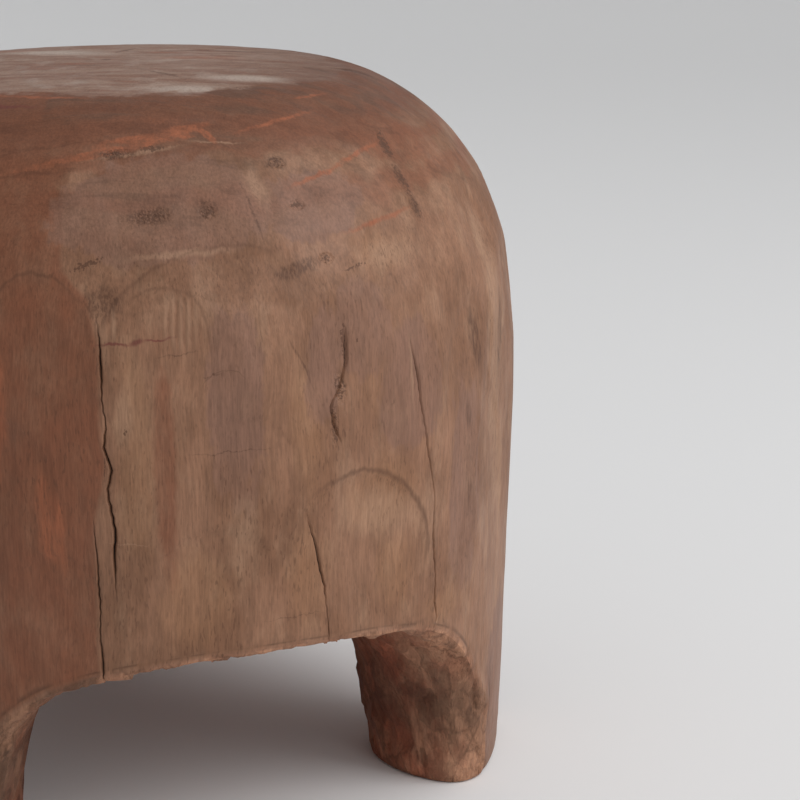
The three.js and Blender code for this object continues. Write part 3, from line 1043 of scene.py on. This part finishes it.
def chips_group():
    """Flat chips left by a blade: each cell of a Voronoi pattern leans its own way.

    Puts out a height within about 1 either way, a value for each chip and a thin line where two meet.
    """
    outputs = ("Height", "Tone", "Crevice")
    graph, given, wanted = make_group("blade_chips", ("Vector",), {"Scale": 80.0}, outputs)
    scaled = graph.vector("SCALE", given["Vector"], scale=given["Scale"])
    cells = graph.add("ShaderNodeTexVoronoi", Vector=scaled, Scale=1.0)
    offset = graph.vector("SUBTRACT", scaled, cells.outputs["Position"])
    lean = graph.vector("SUBTRACT", cells.outputs["Color"], (0.5, 0.5, 0.5))
    graph.feed(wanted["Height"], graph.vector("DOT_PRODUCT", offset, lean, output=1))
    tone = graph.add("ShaderNodeSeparateColor", Color=cells.outputs["Color"]).outputs[0]
    graph.feed(wanted["Tone"], tone)
    borders = graph.add("ShaderNodeTexVoronoi", {"feature": "DISTANCE_TO_EDGE"}, Vector=scaled, Scale=1.0)
    graph.feed(wanted["Crevice"], graph.span(borders.outputs["Distance"], 0.0, 0.09, 1.0, 0.0))
    return graph.tree


def blade_marks(graph, chips_tree, place, turned):
    """Wide chips, small chips and upright rags of torn fibres, for the colour and the relief alike."""
    wide, small = (graph.group(chips_tree, Vector=turned, Scale=scale) for scale in CHIP_SCALES)
    return wide, small, graph.noise(graph.stretched(place, (1, 1, 0.25)), 330.0, 4.0, 0.7)


def relief_group(chips_tree):
    """Fine relief in metres: fibres and lumps on the skin, blade chips and rags where the wood is hewn."""
    values = {"Hewn": 0.0, "Rim": 0.0, "Torn": -1.0, "Chatter": -1.0}
    graph, given, wanted = make_group("wood_relief", ("Vector",), values, ("Height", "Ridge"))
    place = given["Vector"]
    bend = graph.rough_noise(place, 60.0, 3.0, 0.6)
    turned = graph.moved(graph.stretched(place, (1, 1, 0.7)), bend.outputs["Color"], (0.012, 0.012, 0.012))
    chips, small_chips, rags = blade_marks(graph, chips_tree, place, turned)
    cut = graph.times(chips.outputs["Height"], 0.0058)
    cut = graph.times_add(small_chips.outputs["Height"], 0.0022, cut)
    height = graph.times(graph.times_add(rags, 0.0012, cut), given["Hewn"])
    height = graph.times_add(graph.times(bend.outputs["Fac"], given["Rim"]), 0.0030, height)
    height = graph.times_add(bend.outputs["Fac"], 0.0009, height)
    height = graph.times_add(graph.noise(graph.stretched(place, (1, 1, 0.05)), 700.0, 2.0), 0.00020, height)
    dots = graph.times(graph.span(given["Torn"], 0.0, 0.4), graph.noise(place, 560.0, 2.0))
    height = graph.times_add(dots, -0.0010, height)
    ridges = graph.add(
        "ShaderNodeTexWave", {"wave_type": "BANDS", "bands_direction": "X"}, Vector=place,
        Scale=80.0, Distortion=1.5,
    ).outputs["Fac"]
    ridges = graph.broken(ridges, given["Chatter"], 0.0, 0.5)
    graph.feed(wanted["Height"], graph.times_add(ridges, 0.00030, height))
    graph.feed(wanted["Ridge"], ridges)
    return graph.tree


def wood_patterns(graph, place, masks, sizes):
    """The coordinates and patterns that the colours are drawn from.

    The unrolled skin is flat: the azimuth times the belly's radius, and the run up from below. Frayed
    coordinates give the marks their ragged edges.
    """
    look = SimpleNamespace(place=place, skin=graph.math("SUBTRACT", 1.0, masks["hewn"]))
    grain = graph.group(upright_grain_group(), Vector=place)
    look.streak, look.fibre, look.pore = (grain.outputs[name] for name in ("Streak", "Fibre", "Pore"))
    wide = graph.rough_noise(graph.stretched(place, (1, 1, 0.6)), 26.0, 4.0, 0.6)
    fine = graph.rough_noise(graph.stretched(place, (1, 1, 0.45)), 150.0, 3.0, 0.6)
    look.cloud = wide.outputs["Fac"]
    look.patch = graph.noise(graph.stretched(place, (1, 1, 0.5)), 60.0, 5.0, 0.62)
    look.speck = graph.noise(place, 700.0, 1.0, 0.5)

    axes = graph.add("ShaderNodeSeparateXYZ", Vector=place).outputs
    across = graph.math("ARCTAN2", axes["X"], graph.times(axes["Y"], -1.0))
    across = graph.times(across, sizes.radius)
    flat = graph.add("ShaderNodeCombineXYZ", X=across, Y=graph.times(masks["run"], -1.0)).outputs[0]
    look.frayed = graph.vector("SUBTRACT", fine.outputs["Color"], (0.5, 0.5, 0.5))
    look.flat = graph.moved(flat, look.frayed, (0.004, 0.006, 0.0))
    look.wander = graph.vector("SUBTRACT", wide.outputs["Color"], (0.5, 0.5, 0.5))
    look.plan = graph.moved(graph.vector("MULTIPLY", place, (1, 1, 0)), look.frayed, (0.010, 0.004, 0.0))
    look.axes = axes

    wobble = graph.times_add(look.patch, 1.1, -0.55)
    look.wobble = graph.times_add(fine.outputs["Fac"], 0.7, graph.math("ADD", wobble, -0.35))
    return look


def draw_marks(graph, look, masks, sizes):
    """Adds a mask for the seat and for each kind of mark, and gives the painted shade lines along the
    strokes' crisp edges.

    The broad marks are fields in the mesh, roughened here, and the thin ones are drawn here.
    """
    oval = oval_group()
    edge_run = graph.times_add(look.wobble, 0.012, graph.times_add(look.cloud, 0.05, masks["run"]))
    masks["seat"] = graph.span(edge_run, 0.021, 0.029, 1.0, 0.0)
    for kind, marks in MARKS.items():
        field = graph.attribute(kind)
        fray = look.wobble if kind != "heart" else graph.times(look.wobble, 0.35)
        field = graph.times_add(graph.span(field, -1.0, -0.5), fray, field)
        total = graph.span(field, 0.0, MARK_SOFTNESS[kind])
        for mark in filter(is_fine, marks):
            total = graph.larger(total, graph.oval(oval, look.flat, *surface_place(mark, sizes), mark.turn))
        masks[kind] = graph.times(total, look.skin)
    for kind, marks in SEAT_MARKS.items():
        for mark in marks:
            size = (mark.half_length, mark.half_width, 1)
            inside = graph.oval(oval, look.plan, (mark.x, mark.y, 0), size, mark.turn)
            masks[kind] = graph.larger(masks[kind], graph.times(inside, masks["seat"]))

    tree, edge_shade = stroke_group(), None
    for stroke in (stroke for stroke in STROKES if stroke.edge >= DRAWN_EDGE):
        middle, size = surface_place(stroke, sizes)
        turn = (0, 0, math.radians(stroke.turn))
        line = graph.group(tree, Vector=look.flat, Middle=middle, Size=size, Turn=turn).outputs["Edge"]
        line = graph.times(line, stroke.edge)
        edge_shade = line if edge_shade is None else graph.larger(edge_shade, line)
    return graph.times(edge_shade, look.skin)


def skin_colour(graph, look, masks, edge_shade, colours):
    """The worn skin's colour, from the wide tones down to the fibres: wall, shoulder, seat and rim."""
    rings = graph.add(
        "ShaderNodeTexWave", {"wave_type": "RINGS", "rings_direction": "Z", "wave_profile": "SIN"},
        Vector=graph.stretched(look.place, (1, 1, 0.35)), Scale=17.0, Distortion=7.0, Detail=3.0,
        Detail_Scale=0.9, Detail_Roughness=0.6,
    ).outputs["Fac"]
    ring_share = graph.times(graph.span(rings, 0.25, 0.9), masks["shoulder"])
    seat_streak = graph.noise(graph.stretched(look.place, (0.18, 1, 1)), 88.0, 5.0, 0.65, 0.4)
    colour = graph.mix(graph.span(look.cloud, 0.36, 0.64), colours.tan, colours.brown)
    colour = graph.mix(graph.span(look.streak, 0.1, 0.9, 0.0, 0.20), colour, colours.brown)
    colour = graph.mix(graph.span(look.patch, 0.46, 0.72, 0.0, 0.40), colour, colours.pale)
    colour = graph.mix(graph.times(ring_share, 0.6), colour, colours.ruddy)
    collar = graph.broken(masks["shoulder"], masks["run"], 0.036, 0.070, 0.84, 0.0)
    dark = graph.mix(graph.span(seat_streak, 0.4, 0.6), colours.collar, colours.ruddy)
    colour = graph.mix(collar, colour, dark)
    colour = graph.mix(graph.times(masks["gold"], 0.45), colour, colours.gold)
    colour = graph.mix(graph.times(masks["shade"], 0.75), colour, colours.brown)
    red = graph.larger(graph.times(masks["ruddy"], 0.85), masks["heart"])
    colour = graph.mix(graph.broken(red, look.patch, 0.3, 0.7, 1.0, 0.65), colour, colours.ruddy)
    colour = graph.tinted(colour, graph.span(masks["run"], 0.040, 0.085, 0.89, 1.0))
    violet = graph.broken(masks["violet"], look.cloud, 0.3, 0.7, 0.85, 0.45)
    colour = graph.mix(violet, colour, colours.violet)
    # Pale marks, among them a painted highlight along the right-hand silhouette
    colour = graph.mix(graph.times(masks["pale"], 0.50), colour, colours.pale)
    ember = graph.broken(masks["ember"], look.streak, 0.2, 0.8, 0.92, 0.50)
    colour = graph.mix(ember, colour, colours.ember)
    colour = graph.mix(graph.times(masks["wine"], 0.80), colour, colours.wine)

    seat = graph.mix(graph.span(seat_streak, 0.40, 0.60), colours.seat, colours.violet)
    seat = graph.mix(graph.span(look.patch, 0.50, 0.66, 0.0, 0.3), seat, colours.bleached_and_sheen)
    seat = graph.mix(graph.span(seat_streak, 0.58, 0.74, 0.0, 0.7), seat, colours.ember)
    warm = graph.span(graph.times_add(look.wobble, 0.04, look.axes["X"]), 0.03, 0.13, 0.0, 0.6)
    seat = graph.mix(warm, seat, colours.collar)
    # Pale seat marks: worn places, and a painted sheen near the front edge
    seat = graph.mix(graph.times(masks["pale"], 0.8), seat, colours.bleached_and_sheen)
    seat = graph.mix(graph.times(masks["ember"], 0.35), seat, colours.ember)
    colour = graph.mix(graph.times(masks["seat"], 0.9), colour, seat)

    # Smudges darken towards the dirt colour; the one on the right leg's outer strip is painted shade
    smudge_and_shade = graph.broken(masks["smudge_and_shade"], look.fibre, 0.2, 0.8, 0.65, 0.30)
    colour = graph.mix(smudge_and_shade, colour, colours.dirt_and_shade)
    colour = graph.tinted(colour, graph.span(look.fibre, 0.0, 1.0, 0.90, 1.10))
    worn_streak = graph.times(graph.span(seat_streak, 0.50, 0.62), masks["shoulder"])
    colour = graph.mix(worn_streak, colour, graph.tinted(colour, 0.8))
    colour = graph.tinted(colour, graph.span(look.streak, 0.0, 1.0, 1.05, 0.93))
    # Painted shade: a thin dark line under each stroke's crisp upper edge
    colour = graph.mix(graph.times(edge_shade, 0.75), colour, colours.dirt_and_shade)
    worn = graph.broken(graph.span(masks["rim"], 0.25, 0.8), look.patch, 0.35, 0.6, 0.15, 0.55)
    colour = graph.mix(worn, colour, colours.violet)
    line = graph.broken(graph.span(masks["rim"], 0.0, 0.15), masks["rim"], 0.15, 0.40, 1.0, 0.0)
    line = graph.broken(line, look.patch, 0.42, 0.60)
    line = graph.broken(line, look.axes["Z"], 0.07, 0.09)
    return graph.mix(graph.times(line, 0.7), colour, colours.dirt_and_shade)


def hewn_colour(graph, look, chips_tree, colours):
    """Rough hewn wood of the legs and the hollow: lighter outside and darker at heart, with painted light
    that makes it lighter towards the roof and the floor than half way up.
    """
    turned = graph.moved(look.place, look.wander, (0.020, 0.020, 0.030))
    turned = graph.moved(graph.stretched(turned, (1, 1, 0.7)), look.frayed, (0.004, 0.004, 0.004))
    chips, small_chips, rags = blade_marks(graph, chips_tree, look.place, turned)
    outer = graph.length(graph.vector("MULTIPLY", look.place, (1, 1, 0)))
    outer = graph.span(graph.times_add(look.wobble, 0.03, outer), 0.165, 0.215)
    light = graph.times_add(outer, 0.7, graph.span(look.patch, 0.36, 0.64, 0.0, 0.4))
    hewn = graph.mix(light, colours.hewn, colours.cut)
    heart = graph.span(graph.attribute("heart"), 0.0, 0.5)
    chip_tone = graph.span(chips.outputs["Tone"], 0.1, 0.9, 0.84, 1.18)
    hewn = graph.tinted(hewn, graph.times_add(heart, -0.32, chip_tone))
    hewn = graph.tinted(hewn, graph.span(small_chips.outputs["Tone"], 0.1, 0.9, 0.90, 1.10))
    hewn = graph.tinted(hewn, graph.span(rags, 0.3, 0.7, 0.84, 1.14))
    # Painted light: lighter towards the hollow's roof and the floor than half way up, standing in for light
    # that the dim hollow lacks
    level = graph.math("ABSOLUTE", graph.math("ADD", look.axes["Z"], -0.050))
    hewn = graph.tinted(hewn, graph.span(level, 0.0, 0.060, 0.92, 1.60))
    # Painted shade: dark lines in the crevices where blade chips meet
    crevice = graph.broken(chips.outputs["Crevice"], look.cloud, 0.42, 0.58, 0.0, 0.45)
    return graph.mix(crevice, hewn, colours.dirt_and_shade)


def carved_wood(colours, sizes):
    """The stool's one material: worn skin above, rough hewn wood below, marks and cracks by their masks."""
    material, shader, graph = new_material("carved_wood")
    place = graph.add("ShaderNodeTexCoord").outputs["Object"]
    masks = {kind: graph.attribute(kind) for kind in ("hewn", "rim", "crack", "shoulder", "run")}
    look = wood_patterns(graph, place, masks, sizes)
    edge_shade = draw_marks(graph, look, masks, sizes)
    colour = skin_colour(graph, look, masks, edge_shade, colours)
    chips_tree = chips_group()
    colour = graph.mix(masks["hewn"], colour, hewn_colour(graph, look, chips_tree, colours))

    # Pores, torn stipple, and painted shade inside the cracks
    pore = graph.times(look.pore, graph.times_add(masks["shoulder"], -0.5, 1.0))
    colour = graph.mix(graph.broken(pore, look.cloud, 0.4, 0.6, 0.20, 0.45), colour, colours.dirt_and_shade)
    dots = graph.span(graph.times_add(masks["torn"], 0.26, look.speck), 0.62, 0.72, 0.0, 0.75)
    colour = graph.mix(graph.broken(dots, masks["torn"], 0.0, 0.3), colour, colours.dirt_and_shade)
    # Painted shade: the cracks' insides turn near black
    open_crack = graph.span(graph.times_add(look.wobble, 0.16, masks["crack"]), 0.74, 0.92)
    colour = graph.mix(open_crack, colour, colours.void)

    relief = graph.group(
        relief_group(chips_tree), Vector=place, Hewn=masks["hewn"], Rim=masks["rim"],
        Torn=graph.attribute("torn"), Chatter=graph.attribute("chatter"),
    ).outputs
    colour = graph.mix(graph.times(relief["Ridge"], 0.30), colour, colours.pale)
    bump = graph.add("ShaderNodeBump", Strength=0.9, Distance=1.0, Height=relief["Height"])

    gloss = graph.span(look.cloud, 0.3, 0.7, 0.48, 0.62)
    gloss = graph.times_add(masks["hewn"], 0.22, gloss)
    gloss = graph.times_add(open_crack, 0.3, gloss, clamp=True)
    graph.feed(shader.inputs["Base Color"], colour)
    graph.feed(shader.inputs["Roughness"], gloss)
    graph.feed(shader.inputs["Normal"], bump.outputs[0])
    shader.inputs["Specular IOR Level"].default_value = 0.28
    return material


def floor_material(settings):
    """A plain pale floor, with painted shade that makes it a little darker towards the back."""
    material, shader, graph = new_material("pale_floor")
    place = graph.add("ShaderNodeTexCoord").outputs["Object"]
    back = graph.add("ShaderNodeSeparateXYZ", Vector=place).outputs["Y"]
    # Painted shade: the floor and backdrop darken towards the back
    colour = graph.tinted(tuple(settings.floor_colour), graph.span(back, 0.6, 3.9, 1.0, 0.87))
    graph.feed(shader.inputs["Base Color"], colour)
    shader.inputs["Roughness"].default_value = 0.7
    shader.inputs["Specular IOR Level"].default_value = 0.2
    return material


def add_object(name, mesh, material=None):
    """Links a mesh into the scene as an object at the origin."""
    piece = bpy.data.objects.new(name, mesh)
    bpy.context.scene.collection.objects.link(piece)
    if material:
        mesh.materials.append(material)
    return piece


class STOOL_OT_carved_log(bpy.types.Operator):
    """Carve the stool's skin, legs and hollow, and finish its wood"""

    bl_idname = "stool.carved_log"
    bl_label = "Carved Log"

    def execute(self, context):
        sizes = context.scene.stool_sizes
        grid, masks = carve(sizes)
        mesh = surface_mesh("carved_log", grid, masks)
        piece = add_object("carved_log", mesh, carved_wood(context.scene.stool_colours, sizes))
        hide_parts(NODE)
        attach(piece, "root")
        return {"FINISHED"}


def stage_floor(settings):
    """A floor that curves up into a backdrop far behind the stool: a profile carried sideways."""
    turn = np.linspace(0, np.pi / 2, 24)
    start, bend = 5.5, 1.5
    along = np.concatenate([[-6.0, 0.0], start + bend * np.sin(turn), [start + bend]])
    up = np.concatenate([[0.0, 0.0], bend - bend * np.cos(turn), [5.0]])
    sides = np.array([-6.0, 6.0])
    corners = np.broadcast_arrays(sides[None, :], along[:, None], up[:, None])
    points = np.stack(corners, axis=-1).reshape(-1, 3)
    row = np.arange(len(along) - 1) * 2
    faces = np.stack([row, row + 1, row + 3, row + 2], axis=-1)
    mesh = bpy.data.meshes.new("pale_floor")
    mesh.from_pydata(points.tolist(), [], faces.tolist())
    mesh.polygons.foreach_set("use_smooth", np.ones(len(faces), dtype=bool))
    return add_object("pale_floor", mesh, floor_material(settings))


def add_lamp(name, location, target, size, power):
    """A square soft lamp that looks from its place at a point."""
    light = bpy.data.lights.new(name, "AREA")
    light.shape, light.size, light.energy = "SQUARE", size, power
    lamp = bpy.data.objects.new(name, light)
    lamp.location = location
    away = np.array(target) - np.array(location)
    lean = math.acos(-away[2] / np.linalg.norm(away))
    lamp.rotation_euler = (lean, 0, math.atan2(away[1], away[0]) - math.pi / 2)
    bpy.context.scene.collection.objects.link(lamp)


def add_window(settings):
    """A very broad sun lamp that stands for daylight from the right, above and a little in front."""
    light = bpy.data.lights.new("window", "SUN")
    light.angle, light.energy = math.radians(75), settings.sun_strength
    lamp = bpy.data.objects.new("window", light)
    lamp.rotation_euler = (math.radians(38), 0, math.radians(68))
    bpy.context.scene.collection.objects.link(lamp)


def add_camera(settings):
    """The camera, level across and looking a little down along +Y."""
    data = bpy.data.cameras.new("camera")
    data.lens, data.sensor_width, data.sensor_fit = settings.camera_lens, 36.0, "HORIZONTAL"
    camera = bpy.data.objects.new("camera", data)
    camera.location = (settings.camera_right, -settings.camera_back, settings.camera_height)
    camera.rotation_euler = (math.pi / 2 - settings.camera_pitch, 0, 0)
    bpy.context.scene.collection.objects.link(camera)
    bpy.context.scene.camera = camera


class STOOL_OT_stage(bpy.types.Operator):
    """Add the pale floor, the soft lamps, the even sky light and the camera"""

    bl_idname = "stool.stage"
    bl_label = "Stage"

    def execute(self, context):
        settings = context.scene.stool_stage
        stage_floor(settings)
        add_lamp(
            "key_lamp", location=(2.2, -0.7, 1.5), target=(0, 0, 0.25), size=1.6, power=settings.key_power
        )
        add_window(settings)
        world = context.scene.world or bpy.data.worlds.new("sky")
        context.scene.world = world
        world.use_nodes = True
        background = world.node_tree.nodes["Background"]
        background.inputs["Color"].default_value = (1, 1, 1, 1)
        background.inputs["Strength"].default_value = settings.world_light
        add_camera(settings)
        context.scene.view_settings.view_transform = "Standard"
        return {"FINISHED"}


class STOOL_PT_panel(bpy.types.Panel):
    """Lists the stool's steps and settings"""

    bl_label = "Carved Log Stool"
    bl_idname = "STOOL_PT_panel"
    bl_space_type = "VIEW_3D"
    bl_region_type = "UI"
    bl_category = "Stool"

    def draw(self, context):
        layout = self.layout
        for operator in (STOOL_OT_carved_log, STOOL_OT_stage):
            layout.operator(operator.bl_idname)
        for group in (context.scene.stool_sizes, context.scene.stool_colours, context.scene.stool_stage):
            for name in group.bl_rna.properties.keys():
                if name not in ("rna_type", "name"):
                    layout.prop(group, name)


CLASSES = (StoolSizes, StoolColours, StageSettings, STOOL_OT_carved_log, STOOL_OT_stage, STOOL_PT_panel)


def register():
    for item in CLASSES:
        bpy.utils.register_class(item)
    bpy.types.Scene.stool_sizes = PointerProperty(type=StoolSizes)
    bpy.types.Scene.stool_colours = PointerProperty(type=StoolColours)
    bpy.types.Scene.stool_stage = PointerProperty(type=StageSettings)


def unregister():
    del bpy.types.Scene.stool_sizes
    del bpy.types.Scene.stool_colours
    del bpy.types.Scene.stool_stage
    for item in reversed(CLASSES):
        bpy.utils.unregister_class(item)


def main():
    register()
    bpy.ops.stool.carved_log()
    bpy.ops.stool.stage()


if __name__ == "__main__":
    main()
